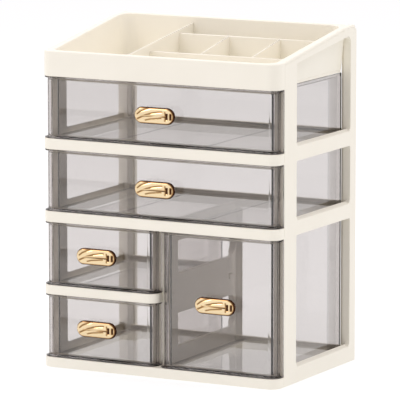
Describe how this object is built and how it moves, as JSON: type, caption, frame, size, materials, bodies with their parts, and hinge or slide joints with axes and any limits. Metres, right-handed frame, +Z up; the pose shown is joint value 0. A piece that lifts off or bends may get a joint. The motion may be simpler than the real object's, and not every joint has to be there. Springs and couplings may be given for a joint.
{
  "type": "makeup organizer with drawers",
  "caption": "Desktop makeup organizer: cream open frame with a sloping compartment tray on top, smoked clear drawers with gold handles, two wide, two small and one tall.",
  "frame": {"origin": "on the standing surface, under the middle of the outline with the handles included", "axes": "+Z up, -Y out of the front with the handles, +X to the right seen from the front"},
  "size_m": [0.2616, 0.1824, 0.3393],
  "materials": {
    "cream_plastic": "satin injection-moulded cream plastic",
    "smoked_clear": "polished clear plastic with a smoky brown-grey tint",
    "gold_metal": "polished gold plating",
    "screw_steel": "zinc-plated machine screw",
    "foot_rubber": "soft anti-slip pad"
  },
  "bodies": {
    "carcass": {"side_frame_left": "cream_plastic", "side_frame_right": "cream_plastic", "top_tray": "cream_plastic", "shelf_upper": "cream_plastic", "shelf_middle": "cream_plastic", "shelf_small": "cream_plastic", "base_frame": "cream_plastic", "partition": "cream_plastic", "foot_front_left": "foot_rubber", "foot_front_right": "foot_rubber", "foot_rear_left": "foot_rubber", "foot_rear_right": "foot_rubber"},
    "drawer_upper_body": {"drawer_upper": "smoked_clear", "handle_upper": "gold_metal", "screws_upper": "screw_steel"},
    "drawer_middle_body": {"drawer_middle": "smoked_clear", "handle_middle": "gold_metal", "screws_middle": "screw_steel"},
    "drawer_small_upper_body": {"drawer_small_upper": "smoked_clear", "handle_small_upper": "gold_metal", "screws_small_upper": "screw_steel"},
    "drawer_small_lower_body": {"drawer_small_lower": "smoked_clear", "handle_small_lower": "gold_metal", "screws_small_lower": "screw_steel"},
    "drawer_tall_body": {"drawer_tall": "smoked_clear", "handle_tall": "gold_metal", "screws_tall": "screw_steel"}
  },
  "joints": [
    {"name": "drawer_upper_slide", "type": "slide", "parent": "carcass", "child": "drawer_upper_body", "axis": [0, -1, 0], "range_m": [0, 0.1469]},
    {"name": "drawer_middle_slide", "type": "slide", "parent": "carcass", "child": "drawer_middle_body", "axis": [0, -1, 0], "range_m": [0, 0.1469]},
    {"name": "drawer_small_upper_slide", "type": "slide", "parent": "carcass", "child": "drawer_small_upper_body", "axis": [0, -1, 0], "range_m": [0, 0.1469]},
    {"name": "drawer_small_lower_slide", "type": "slide", "parent": "carcass", "child": "drawer_small_lower_body", "axis": [0, -1, 0], "range_m": [0, 0.1469]},
    {"name": "drawer_tall_slide", "type": "slide", "parent": "carcass", "child": "drawer_tall_body", "axis": [0, -1, 0], "range_m": [0, 0.1469]}
  ]
}
